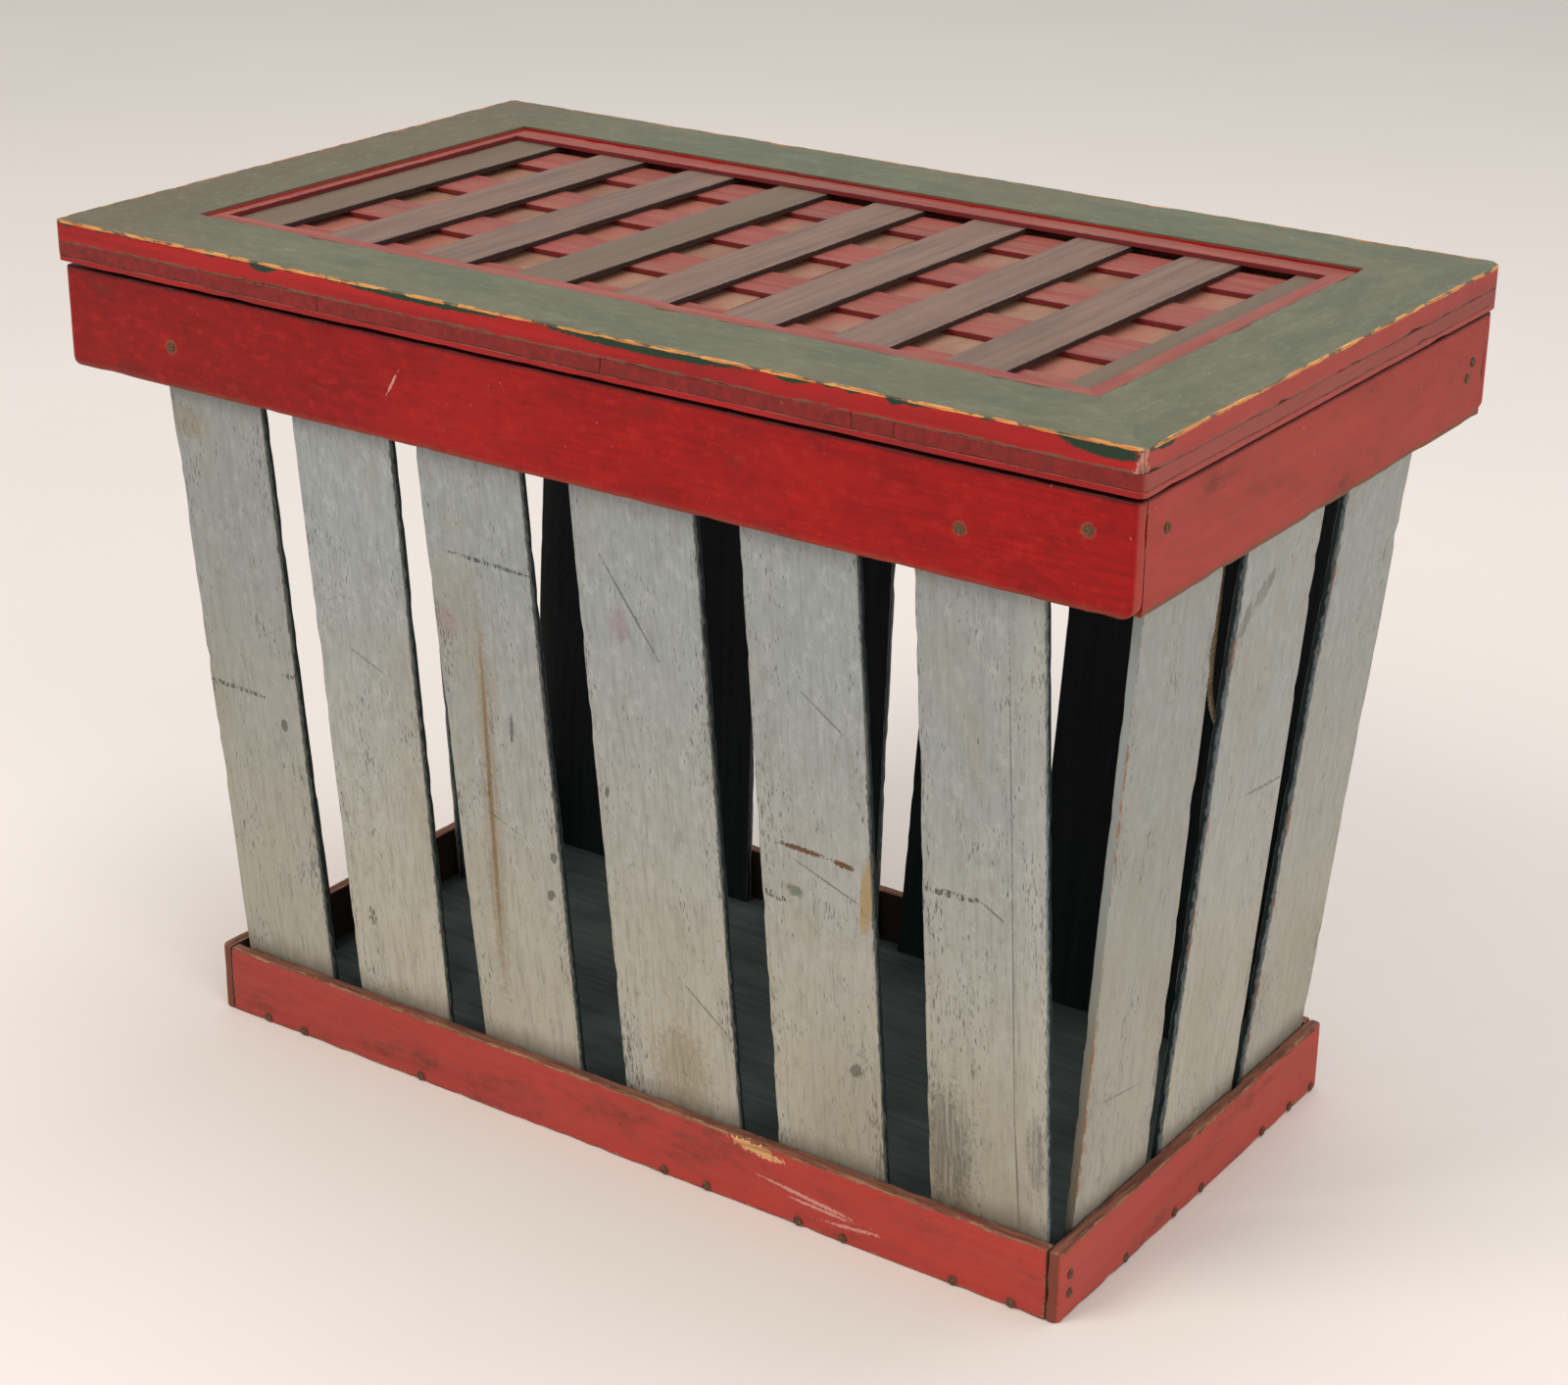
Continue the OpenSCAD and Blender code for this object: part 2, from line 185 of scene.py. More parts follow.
def joined(name, parts):
    """One object of several that share their materials and attributes."""
    bpy.ops.object.select_all(action="DESELECT")
    for part in parts:
        part.select_set(True)
    bpy.context.view_layer.objects.active = parts[0]
    bpy.ops.object.join()
    parts[0].name = name
    parts[0].data.name = name
    return parts[0]


# ---------------------------------------------------------------- the stay cord

CORD_X = 0.271
CORD_D = 0.003
# From the loop's lowest point, square to the crate's limb: the cord turns over from crate to lid along it
# The route as (y, z), from the crate's eye down and up again to just under the lid's eye
CORD_ROUTE = [
    (0.0048, 0.4), (0.004, 0.388), (0.0031, 0.376), (0.0021, 0.364), (0.0011, 0.352),
    (0, 0.34), (-0.0012, 0.328), (-0.0024, 0.316), (-0.0036, 0.305), (-0.0049, 0.296),
    (-0.0062, 0.288), (-0.0078, 0.2805), (-0.0098, 0.2742), (-0.0121, 0.2696), (-0.0148, 0.266),
    (-0.0176, 0.2638), (-0.0206, 0.2628), (-0.0236, 0.2631), (-0.0264, 0.2646), (-0.029, 0.2672),
    (-0.0314, 0.2704), (-0.0337, 0.2744), (-0.0357, 0.279), (-0.0372, 0.2842), (-0.0381, 0.29),
    (-0.0384, 0.2964), (-0.038, 0.3034), (-0.0371, 0.311), (-0.0361, 0.32), (-0.035, 0.33),
    (-0.034, 0.341), (-0.033, 0.352), (-0.032, 0.363), (-0.031, 0.374), (-0.03, 0.385),
    (-0.029, 0.396), (-0.0279, 0.4093),
]


def knot(name, middle, body, loop_axis, loop_z):
    """An overhand knot with a short frayed tail, and the loop that goes through the eye."""
    turns = [i / 90 * 2 * math.pi for i in range(90)]
    tight = 0.00085
    path = [middle + tight * Vector((math.sin(t) + 2 * math.sin(2 * t), -math.sin(3 * t) * 1.1,
                                     math.cos(t) - 2 * math.cos(2 * t))) for t in turns]
    ball = twisted_tube(name, path, CORD_D * 0.36, sides=12, closed=True)
    across = Vector((0, 1, 0)) if loop_axis == "x" else Vector((1, 0, 0))
    reach = 0.0024
    centre = Vector((middle.x, middle.y, loop_z))
    ring = [centre + reach * (math.cos(t) * across + math.sin(t) * Vector((0, 0, 1))) for t in turns]
    loop = twisted_tube(name + "_loop", ring, CORD_D * 0.36, sides=12, closed=True)
    parts = [ball, loop]
    rng = random.Random(len(name))
    for i in range(9):
        lean = Vector((rng.uniform(-1, 1), rng.uniform(-1, 1), -1.6)).normalized()
        tail = [middle + Vector((0.0012, -0.0012, 0)) + lean * 0.0011 * k
                + Vector((0.0009, -0.0007, -0.0002)) * k ** 1.4 for k in range(6)]
        parts.append(twisted_tube(f"{name}_tail{i}", tail, 0.0004, sides=6))
    piece = joined(name, parts)
    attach(piece, body)
    return piece


def make_cord():
    route = [Vector((CORD_X, y, z)) for y, z in CORD_ROUTE]
    path = spline(route, 0.001)
    piece = twisted_tube("twine_stay", path, CORD_D / 2)
    crate_knot = knot("knot_crate", path[0] - Vector((0, 0, 0.0012)), "crate", "x", 0.4012)
    lid_knot = knot("knot_lid", path[-1] + Vector((0, 0, 0.0003)), "lid", "y", 0.4128)
    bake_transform(piece)
    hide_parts("stay_cord")
    return [piece, crate_knot, lid_knot]


cord_pieces = make_cord()


# ---------------------------------------------------------------- boards

def islands(mesh):
    """The separate closed solids of a mesh, with its flat faces whole again."""
    bm = bmesh.new()
    bm.from_mesh(mesh)
    bmesh.ops.remove_doubles(bm, verts=bm.verts, dist=1e-6)
    bmesh.ops.dissolve_limit(bm, angle_limit=math.radians(0.6), verts=bm.verts, edges=bm.edges)
    bm.verts.ensure_lookup_table()
    todo = set(bm.verts)
    groups = []
    while todo:
        group, edge = set(), [todo.pop()]
        while edge:
            v = edge.pop()
            group.add(v)
            for e in v.link_edges:
                other = e.other_vert(v)
                if other in todo:
                    todo.remove(other)
                    edge.append(other)
        groups.append(group)
    groups.sort(key=lambda g: sum((v.co for v in g), Vector()).x / len(g))
    found = []
    for group in groups:
        part = bmesh.new()
        where = {v: part.verts.new(v.co) for v in group}
        for face in bm.faces:
            if face.verts[0] in group:
                part.faces.new([where[v] for v in face.verts])
        found.append(part)
    bm.free()
    return found


def board_axes(bm, outward):
    """Grain along the longest edge, and thickness across the largest face, pointing outward."""
    longest = max(bm.edges, key=lambda e: e.calc_length())
    u = (longest.verts[1].co - longest.verts[0].co).normalized()
    bm.normal_update()
    w = max(bm.faces, key=lambda f: f.calc_area()).normal.copy()
    if u.dot(Vector((1, 0.4, 2))) < 0:
        u = -u
    if w.dot(outward) < 0:
        w = -w
    w = (w - w.dot(u) * u).normalized()
    return u, w.cross(u), w


def slice_up(bm, axis, step):
    """Cuts the board across `axis` about every `step`, so that it can be worn."""
    at = [v.co.dot(axis) for v in bm.verts]
    low, high = min(at), max(at)
    count = max(1, round((high - low) / step))
    for i in range(1, count):
        place = axis * (low + (high - low) * i / count)
        geometry = bm.verts[:] + bm.edges[:] + bm.faces[:]
        bmesh.ops.bisect_plane(bm, geom=geometry, plane_co=place, plane_no=axis, dist=1e-7)


def steady_normals(mesh, u, crisp_ends):
    """Normals that lean to the larger faces, so that broad faces stay flat beside the rounded arrises.
    Crisp ends keep normals of their own."""
    total = np.zeros((len(mesh.vertices), 2, 3))
    ends = [int(crisp_ends and abs(face.normal.dot(u)) > 0.6) for face in mesh.polygons]
    for face, end in zip(mesh.polygons, ends):
        for i in face.vertices:
            total[i, end] += np.array(face.normal) * face.area
    found = np.array([total[i, end] for face, end in zip(mesh.polygons, ends) for i in face.vertices])
    found /= np.linalg.norm(found, axis=1, keepdims=True)
    mesh.normals_split_custom_set(found.tolist())


def worn_board(name, bm, outward, seed, tone=0.0, edge=1.0, warp=0.25, chips=0.7, step=7.0, jointed=False):
    """A board with rounded arrises, a slight warp and chipped edges; sizes in millimetres.
    The ends of a jointed board stay sharp, so that its joints close."""
    u, v, w = board_axes(bm, outward)
    axes = np.array([u, v, w])
    corners = np.array([p.co for p in bm.verts]) @ axes.T
    middle = (corners.min(0) + corners.max(0)) / 2
    half = (corners.max(0) - corners.min(0)) / 2
    sharp = [e for e in bm.edges if len(e.link_faces) == 2 and e.calc_face_angle(0) > math.radians(20)]
    if jointed:
        sharp = [e for e in sharp if abs((e.verts[1].co - e.verts[0].co).normalized().dot(u)) > 0.99]
    bmesh.ops.bevel(bm, geom=sharp, offset=edge * MM, segments=2, profile=0.55, affect="EDGES",
                    clamp_overlap=True)
    slice_up(bm, u, step * MM)
    if half[1] > 12 * MM:
        slice_up(bm, v, step * MM)
    mesh = bpy.data.meshes.new(name)
    bm.normal_update()
    bm.to_mesh(mesh)
    bm.free()
    count = len(mesh.vertices)
    co = np.empty(count * 3, np.float32)
    mesh.vertices.foreach_get("co", co)
    co = co.reshape(-1, 3).astype(float)
    local = co @ axes.T - middle
    gap = np.sort(half - np.abs(local), axis=1)
    normals = np.array([p.normal for p in mesh.vertices])
    shift = np.zeros(count)
    bend = np.zeros(count)
    for i, (a, b, c) in enumerate(local):
        place = Vector((a * 14 + seed * 7.3, b * 22, seed))
        bend[i] = noise.noise(place) * min(1, 4 * max(0, half[0] - abs(a)) / half[0])
        near = max(0.0, 1 - gap[i][1] / (2.5 * MM))
        if near:
            bite = noise.noise(Vector((a * 95, b * 95 + seed * 3.1, c * 120)))
            shift[i] = near * max(0.0, bite - 0.12)
    co += np.outer(bend * warp * MM, w) - normals * (shift * chips * 2.2 * MM)[:, None]
    mesh.vertices.foreach_set("co", co.astype(np.float32).ravel())
    give(mesh, "board", "FLOAT_VECTOR", local)
    give(mesh, "half", "FLOAT_VECTOR", np.tile(half, (count, 1)))
    give(mesh, "kind", "FLOAT_VECTOR", np.tile((seed, tone, 0), (count, 1)))
    mesh.update()
    mesh.shade_smooth()
    steady_normals(mesh, u, jointed)
    made = bpy.data.objects.new(name, mesh)
    bpy.context.scene.collection.objects.link(made)
    return made


def boards(node, material, slot, outward, tone=0.0, **wear):
    """Stands a worn board in for each solid of a CAD node."""
    made = []
    cad = nodes[node]
    for i, bm in enumerate(islands(cad.data)):
        seed = (sum(ord(c) * (k + 3) for k, c in enumerate(node)) % 97) * 0.37 + i * 2.9
        name = f"wood_{node}_{i + 1}"
        piece = worn_board(name, bm, Vector(outward), seed, tone, **wear)
        piece.data.materials.append(material)
        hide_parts(node)
        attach(piece, cad["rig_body"])
        made.append(piece)
    return made


# ---------------------------------------------------------------- shaders

def rgb(r, g, b):
    """A colour from its 0 to 255 screen values."""
    screen = [c / 255 for c in (r, g, b)]
    return tuple(c / 12.92 if c < 0.0405 else ((c + 0.055) / 1.055) ** 2.4 for c in screen) + (1,)


class Shader:
    """Short ways to build a material's nodes. Sockets, numbers and colours can stand for each other."""

    def __init__(self, name, metallic=0.0, specular=0.5):
        self.material = bpy.data.materials.new(name)
        self.material.use_nodes = True
        self.tree = self.material.node_tree
        self.tree.nodes.clear()
        self.out = self.tree.nodes.new("ShaderNodeOutputMaterial")
        self.surface = self.tree.nodes.new("ShaderNodeBsdfPrincipled")
        self.surface.inputs["Metallic"].default_value = metallic
        self.surface.inputs["Specular IOR Level"].default_value = specular
        self.tree.links.new(self.surface.outputs[0], self.out.inputs[0])

    def put(self, socket, value):
        if isinstance(value, bpy.types.NodeSocket):
            self.tree.links.new(value, socket)
        else:
            socket.default_value = value

    def math(self, operation, a, b=0.0, clamp=False):
        n = self.tree.nodes.new("ShaderNodeMath")
        n.operation = operation
        n.use_clamp = clamp
        self.put(n.inputs[0], a)
        self.put(n.inputs[1], b)
        return n.outputs[0]

    def add(self, a, b):
        return self.math("ADD", a, b)

    def sub(self, a, b):
        return self.math("SUBTRACT", a, b)

    def mul(self, a, b):
        return self.math("MULTIPLY", a, b)

    def both(self, a, b):
        return self.math("MULTIPLY", a, b, clamp=True)

    def either(self, *values):
        found = values[0]
        for value in values[1:]:
            found = self.math("MAXIMUM", found, value)
        return found

    def size(self, a):
        return self.math("ABSOLUTE", a)

    def flip(self, a):
        return self.math("SUBTRACT", 1.0, a, clamp=True)

    def step(self, value, low, high):
        """0 up to low, 1 from high, smooth between; low may be the larger."""
        n = self.tree.nodes.new("ShaderNodeMapRange")
        n.interpolation_type = "SMOOTHSTEP"
        self.put(n.inputs["Value"], value)
        self.put(n.inputs["From Min"], low)
        self.put(n.inputs["From Max"], high)
        return n.outputs["Result"]

    def mix(self, factor, a, b, blend="MIX"):
        n = self.tree.nodes.new("ShaderNodeMix")
        n.data_type = "RGBA"
        n.blend_type = blend
        self.put(n.inputs["Factor"], factor)
        self.put(n.inputs[6], a)
        self.put(n.inputs[7], b)
        return n.outputs[2]

    def vector(self, name):
        n = self.tree.nodes.new("ShaderNodeAttribute")
        n.attribute_name = name
        return n.outputs["Vector"]

    def split(self, vector):
        n = self.tree.nodes.new("ShaderNodeSeparateXYZ")
        self.put(n.inputs[0], vector)
        return n.outputs

    def stretch(self, vector, x, y, z):
        n = self.tree.nodes.new("ShaderNodeVectorMath")
        n.operation = "MULTIPLY"
        self.put(n.inputs[0], vector)
        n.inputs[1].default_value = (x, y, z)
        return n.outputs[0]

    def noise(self, vector, scale, detail=3.0, rough=0.55, seed=None, distort=0.0):
        n = self.tree.nodes.new("ShaderNodeTexNoise")
        n.noise_dimensions = "4D" if seed is not None else "3D"
        self.put(n.inputs["Vector"], vector)
        n.inputs["Scale"].default_value = scale
        n.inputs["Detail"].default_value = detail
        n.inputs["Roughness"].default_value = rough
        n.inputs["Distortion"].default_value = distort
        if seed is not None:
            self.put(n.inputs["W"], seed)
        return n.outputs[0]

    def place(self):
        """The point on the crate, in metres; it stays with the body as that moves."""
        return self.tree.nodes.new("ShaderNodeTexCoord").outputs["Object"]

    def facing(self):
        """Which way the surface faces, as x, y and z."""
        return self.split(self.tree.nodes.new("ShaderNodeTexCoord").outputs["Normal"])

    def mark(self, middle, along, length, width, ragged=0.5, seed=1.0, soft=0.3):
        """A ragged mark on the surface: its middle and direction, with its half sizes in millimetres."""
        place = self.place()
        n = self.tree.nodes.new("ShaderNodeVectorMath")
        n.operation = "SUBTRACT"
        self.put(n.inputs[0], place)
        n.inputs[1].default_value = tuple(c * MM for c in middle)
        away = n.outputs[0]
        along = Vector(along).normalized()
        dot = self.tree.nodes.new("ShaderNodeVectorMath")
        dot.operation = "DOT_PRODUCT"
        self.put(dot.inputs[0], away)
        dot.inputs[1].default_value = along
        ahead = dot.outputs["Value"]
        far = self.tree.nodes.new("ShaderNodeVectorMath")
        far.operation = "LENGTH"
        self.put(far.inputs[0], away)
        far2 = self.math("POWER", far.outputs["Value"], 2.0)
        side = self.math("SQRT", self.math("MAXIMUM", self.sub(far2, self.mul(ahead, ahead)), 0.0))
        a = self.size(self.mul(ahead, 1 / (length * MM)))
        b = self.mul(side, 1 / (width * MM))
        reach = self.math("SQRT", self.add(self.mul(a, a), self.mul(b, b)))
        rough = self.noise(place, 900 if width < 2 else 350, 3.0, 0.6, seed=seed)
        wander = self.mul(self.sub(rough, 0.5), 4 * ragged)
        return self.step(self.add(reach, wander), 1.0 + soft / 2, 1.0 - soft / 2)

    def finish(self, color, roughness, height=None, strength=0.5, distance=0.6):
        self.put(self.surface.inputs["Base Color"], color)
        self.put(self.surface.inputs["Roughness"], roughness)
        if height is not None:
            n = self.tree.nodes.new("ShaderNodeBump")
            n.inputs["Strength"].default_value = strength
            n.inputs["Distance"].default_value = distance * MM
            self.put(n.inputs["Height"], height)
            self.put(self.surface.inputs["Normal"], n.outputs[0])
        return self.material


class WoodShader(Shader):
    """A shader for worn boards, with what every one of them needs."""

    def __init__(self, name, specular=0.5):
        super().__init__(name, specular=specular)
        self.board = self.vector("board")
        self.u, self.v, self.w = self.split(self.board)
        self.hu, self.hv, self.hw = self.split(self.vector("half"))
        self.seed, self.tone, _ = self.split(self.vector("kind"))
        du = self.sub(self.hu, self.size(self.u))
        dv = self.sub(self.hv, self.size(self.v))
        dw = self.sub(self.hw, self.size(self.w))
        low, high = self.math("MINIMUM", dv, dw), self.math("MAXIMUM", dv, dw)
        # Distance to the nearest arris: the middle one of the three
        self.edge = self.either(low, self.math("MINIMUM", high, du))
        # 1 on the narrow sides and ends, 0 on the two broad faces
        self.side = self.step(self.sub(dw, self.math("MINIMUM", dv, du)), -0.0002, 0.0002)
        # 1 on the ends only
        self.end = self.step(self.sub(self.math("MINIMUM", dv, dw), du), -0.0002, 0.0004)
        # 1 on the broad inner face
        self.inner = self.both(self.step(self.w, 0.0001, -0.0001), self.flip(self.side))
        # From long grain lines to short flecks
        self.grain = self.wood(9, 260, 5.0, 0.62, distort=0.25)
        self.streak = self.wood(34, 560, 5.0, 0.65, distort=0.3)
        self.mottle = self.wood(130, 260, 4.0, 0.65, 12.0)
        self.fine = self.wood(60, 1700, 3.0, 0.6)
        self.blotch = self.wood(8, 15, 3.0, 0.55)
        self.cloud = self.wood(22, 55, 4.0, 0.6, 3.0)
        self.speck = self.wood(170, 420, 4.0, 0.65, 6.0)
        self.dash = self.wood(190, 1250, 3.0, 0.6, 9.0)

    def wood(self, along, across, detail, rough, other=0.0, distort=0.0):
        """Noise that runs with the board: its scales along and across the grain, in repeats a metre."""
        seed = self.add(self.seed, other) if other else self.seed
        return self.noise(self.stretch(self.board, along, across, across), 1.0, detail, rough, seed, distort)

    def flecked(self, dark, light):
        """Two colours in fine streaks."""
        return self.mix(self.step(self.fine, 0.4, 0.6), rgb(*dark), rgb(*light))

    def worn_edge(self, width, amount):
        """1 where the paint is gone along the arrises: width in millimetres, amount 0 to 1."""
        near = self.step(self.edge, width * MM, 0.0)
        return self.step(self.add(self.mul(near, 0.62), self.mul(self.sub(self.speck, 0.5), 1.5)),
                         0.72 - 0.4 * amount, 0.82 - 0.4 * amount)

    def chipped(self, amount):
        """1 on small chips anywhere: amount 0 to 1."""
        rare = self.mul(self.sub(self.blotch, 0.5), 0.5)
        return self.step(self.add(self.speck, rare), 0.80 - 0.14 * amount, 0.84 - 0.14 * amount)

    def dashes(self, amount):
        """1 on short dark flecks along the grain."""
        more = self.mul(self.sub(self.cloud, 0.5), 0.45)
        return self.step(self.add(self.dash, more), 0.78 - 0.16 * amount, 0.86 - 0.16 * amount)

    def bare(self, light=(196, 148, 92), dark=(120, 82, 50)):
        """Bare wood, with its grain."""
        return self.mix(self.step(self.grain, 0.35, 0.65), rgb(*dark), rgb(*light))


# ---------------------------------------------------------------- paints

TEAL = (24, 38, 37)


def slat_paint():
    """Grey paint: bluish high up and yellowed below, dark teal on the inside, worn along the sawn edges."""
    s = WoodShader("grey_paint", specular=0.3)
    x, y, z = s.split(s.place())
    _, ny, _ = s.facing()
    right_end = s.step(x, 0.24, 0.25)
    foot = s.step(z, 0.33, 0.05)
    color = s.mix(s.mul(foot, 0.85), rgb(146, 150, 149), rgb(177, 169, 148))
    color = s.mix(s.mul(s.step(s.streak, 0.44, 0.68), 0.5), color, rgb(126, 125, 117))
    color = s.mix(s.mul(s.step(s.mottle, 0.48, 0.70), 0.45), color, rgb(178, 178, 172))
    color = s.mix(s.mul(s.step(s.mottle, 0.46, 0.30), 0.4), color, rgb(122, 119, 108))
    color = s.mix(s.mul(s.step(s.cloud, 0.5, 0.72), 0.35), color, rgb(172, 172, 166))
    color = s.mix(s.mul(s.step(s.blotch, 0.5, 0.7), 0.4), color, rgb(146, 138, 114))
    color = s.mix(s.mul(s.tone, 0.5), color, rgb(112, 110, 99))
    # Stains soak in along the grain, so their rims are soft and streaky
    soak = s.add(0.35, s.mul(s.streak, 0.9))
    stains = s.either(
        s.mark((-236, -165, 349), (1, 0, 0), 13, 9, 0.5, 1.0, soft=0.7),
        s.mark((-60.8, -145, 172), (0.045, -0.113, 0.99), 100, 5, 0.5, 2.0, soft=0.9),
        s.mark((170, -147, 195), (0.3, 0, 1), 16, 9, 0.6, 3.0, soft=0.8),
        s.mark((46, -133, 62), (0, -0.11, 1), 22, 16, 0.6, 4.5, soft=0.9))
    color = s.mix(s.both(s.mul(stains, 0.5), soak), color, rgb(128, 106, 70))
    core = s.mark((-60.8, -145, 176), (0.045, -0.113, 0.99), 84, 1.5, 0.5, 2.5, soft=0.9)
    color = s.mix(s.mul(core, 0.75), color, rgb(110, 86, 48))
    drip = s.mark((160.5, -147.5, 193), (0.12, -0.114, 0.99), 20, 3.2, 0.25, 4.0, soft=0.5)
    color = s.mix(s.mul(drip, 0.7), color, rgb(156, 126, 74))
    purple = s.either(s.mark((-76, -157, 277), (0, -0.11, 1), 8, 6, 0.5, 5.0, soft=0.8),
                      s.mark((30, -158, 300), (0, -0.11, 1), 9, 6, 0.5, 6.0, soft=0.8))
    color = s.mix(s.mul(purple, 0.4), color, rgb(138, 108, 110))
    smears = s.either(
        s.mark((291, -32, 338), (0, 0.7, 0.7), 11, 4.5, 0.5, 12.0, soft=0.6),
        s.mark((290, -47, 327), (0, 0.3, 0.95), 9, 3.5, 0.5, 12.2, soft=0.6),
        s.mark((247.5, -134, 84), (-0.02, -0.114, 0.99), 22, 4.2, 0.35, 13.0, soft=0.6),
        s.mark((200, -133, 70), (-0.02, -0.114, 0.99), 34, 11, 0.6, 13.3, soft=1.0),
        s.mark((282, -18, 193), (0, 0.5, 0.85), 6, 2.6, 0.4, 13.5, soft=0.5),
        s.mark((272, -4, 133), (0, 0.5, 0.85), 4, 1.8, 0.4, 13.7, soft=0.5))
    color = s.mix(s.both(s.mul(smears, 0.75), s.step(s.streak, 0.30, 0.55)), color, rgb(84, 83, 76))
    # Rows of dots where something has rubbed across the slats
    rubs = s.either(
        s.mark((-228, -148.5, 202), (1, 0, -0.04), 22, 1.5, 0.3, 7.0),
        s.mark((-188, -150, 218), (1, 0, 0), 7, 1.5, 0.3, 8.0),
        s.mark((-46, -161, 314), (1, 0, -0.04), 30, 1.3, 0.3, 9.0),
        s.mark((109, -146, 180), (1, 0, -0.1), 7, 2.2, 0.4, 10.0),
        s.mark((206, -149, 210), (1, 0, 0.05), 15, 2.0, 0.4, 11.0),
        s.mark((278, 8, 224), (0, 1, -0.12), 30, 1.0, 0.3, 12.5),
        s.mark((-153, -135, 87), (0, -0.11, 1), 5, 3.4, 0.5, 14.0))
    ticks = s.wood(260, 1100, 3.0, 0.6, 18.0)
    dots = s.step(s.add(ticks, s.mul(rubs, 0.27)), 0.72, 0.82)
    # Dark flecks along the grain, more of them towards the arrises and in some patches
    near = s.step(s.edge, 0.012, 0.0)
    crowd = s.add(s.mul(s.sub(s.cloud, 0.5), 0.55), s.mul(near, 0.05))
    long_dash = s.wood(95, 640, 3.0, 0.65, 15.0)
    flecks = s.either(s.step(s.add(s.dash, crowd), 0.64, 0.71), s.step(s.add(long_dash, crowd), 0.70, 0.76))
    scratches = s.either(
        s.mark((37, -161, 311), (0.53, 0.1, -0.84), 27, 0.6, 0.6, 15.0),
        s.mark((136, -158, 288), (0.79, 0.05, -0.6), 22, 0.5, 0.6, 16.0),
        s.mark((230, -149, 206), (0.87, 0, -0.5), 10, 0.6, 0.6, 17.0),
        s.mark((237, -134, 74), (-0.02, -0.114, 0.99), 36, 0.6, 0.4, 18.0),
        s.mark((238, -150, 215), (0.012, -0.114, 0.99), 130, 0.35, 0.5, 18.5),
        s.mark((263.8, -85, 99), (0, 0.98, -0.2), 28, 0.5, 0.8, 19.0),
        s.mark((-130, -148, 190), (0.6, 0.05, -0.8), 16, 0.5, 0.6, 20.0),
        s.mark((-45, -145, 168), (0.92, 0.04, -0.4), 22, 0.5, 0.8, 21.0),
        s.mark((140, -148, 196), (0.93, 0.03, -0.36), 19, 0.5, 0.8, 21.3),
        s.mark((65, -137, 100), (0.75, 0.07, -0.66), 18, 0.5, 0.8, 21.6),
        s.mark((-130, -153, 240), (0.9, 0.03, -0.4), 14, 0.5, 0.8, 21.8))
    nicks = s.either(
        s.mark((-42, -151.5, 227), (0.1, -0.114, 0.99), 8, 1.1, 0.4, 24.0),
        s.mark((-28, -141.5, 138), (0.3, -0.1, 0.95), 3.5, 2.4, 0.4, 24.3),
        s.mark((14, -149.3, 208), (0.2, -0.114, 0.97), 3.5, 1.2, 0.4, 24.6),
        s.mark((-24, -143.8, 160), (0, -0.114, 0.99), 3, 2, 0.4, 24.9),
        s.mark((150, -136, 96), (0.3, -0.1, 0.95), 4, 3, 0.4, 25.2),
        s.mark((-197, -147, 188), (0, -0.114, 0.99), 4, 2.2, 0.4, 25.5))
    gouge = s.either(s.mark((126, -149.3, 209.5), (1, 0, -0.03), 12, 1.4, 0.6, 22.0),
                     s.mark((149, -149.3, 208), (1, 0, -0.1), 6, 1.6, 0.6, 23.0))
    worn = s.both(s.worn_edge(1.8, 0.36), s.step(s.speck, 0.40, 0.56))
    chips = s.chipped(0.5)
    dark = s.either(s.mul(flecks, 0.8), dots, s.both(chips, 0.8), s.mul(scratches, 0.7), s.mul(nicks, 0.8))
    color = s.mix(s.mul(dark, 0.85), color, rgb(58, 56, 50))
    moss = s.mark((121, -147, 186), (1, 0, -0.3), 4.5, 2.8, 0.5, 26.0, soft=0.7)
    color = s.mix(s.mul(moss, 0.7), color, rgb(78, 92, 68))
    # A few small tan spots
    spots = s.noise(s.place(), 210, 2.0, 0.5)
    color = s.mix(s.mul(s.step(spots, 0.745, 0.775), 0.6), color, rgb(140, 118, 70))
    color = s.mix(s.mul(worn, 0.8), color, rgb(54, 58, 53))
    color = s.mix(gouge, color, rgb(98, 68, 44))
    # The two front slats by the right corner are dirtier at the foot, and the right end's slats are paler
    low_right = s.both(s.both(s.step(x, 0.10, 0.14), s.step(y, -0.10, -0.12)), s.step(z, 0.16, 0.05))
    color = s.mix(s.mul(s.both(low_right, s.add(s.cloud, 0.3)), 0.4), color, rgb(118, 108, 88))
    color = s.mix(s.mul(right_end, 0.13), color, rgb(205, 201, 188))
    # The foot of each slat is grimy where it meets the tray
    grime = s.both(s.step(s.add(z, s.mul(s.cloud, 0.02)), 0.064, 0.047), 0.5)
    color = s.mix(grime, color, rgb(78, 66, 50))
    # Sawn edges: paint that thins towards the dark inside; the corner slat's is painted right round
    corner = s.both(s.step(y, -0.100, -0.104), s.step(ny, -0.5, -0.8))
    rim = s.step(s.add(s.w, s.mul(s.sub(s.speck, 0.5), 0.006)), -0.0004, 0.0012)
    pale = s.mix(right_end, rgb(108, 109, 102), rgb(126, 134, 134))
    sawn = s.mix(rim, rgb(*TEAL), pale)
    sawn = s.mix(s.both(s.step(s.dash, 0.46, 0.6), 0.6), sawn, rgb(38, 46, 44))
    sawn = s.mix(corner, sawn, s.mix(foot, rgb(134, 140, 138), rgb(122, 117, 100)))
    color = s.mix(s.both(s.side, s.step(s.edge, 0.0002, 0.0007)), color, sawn)
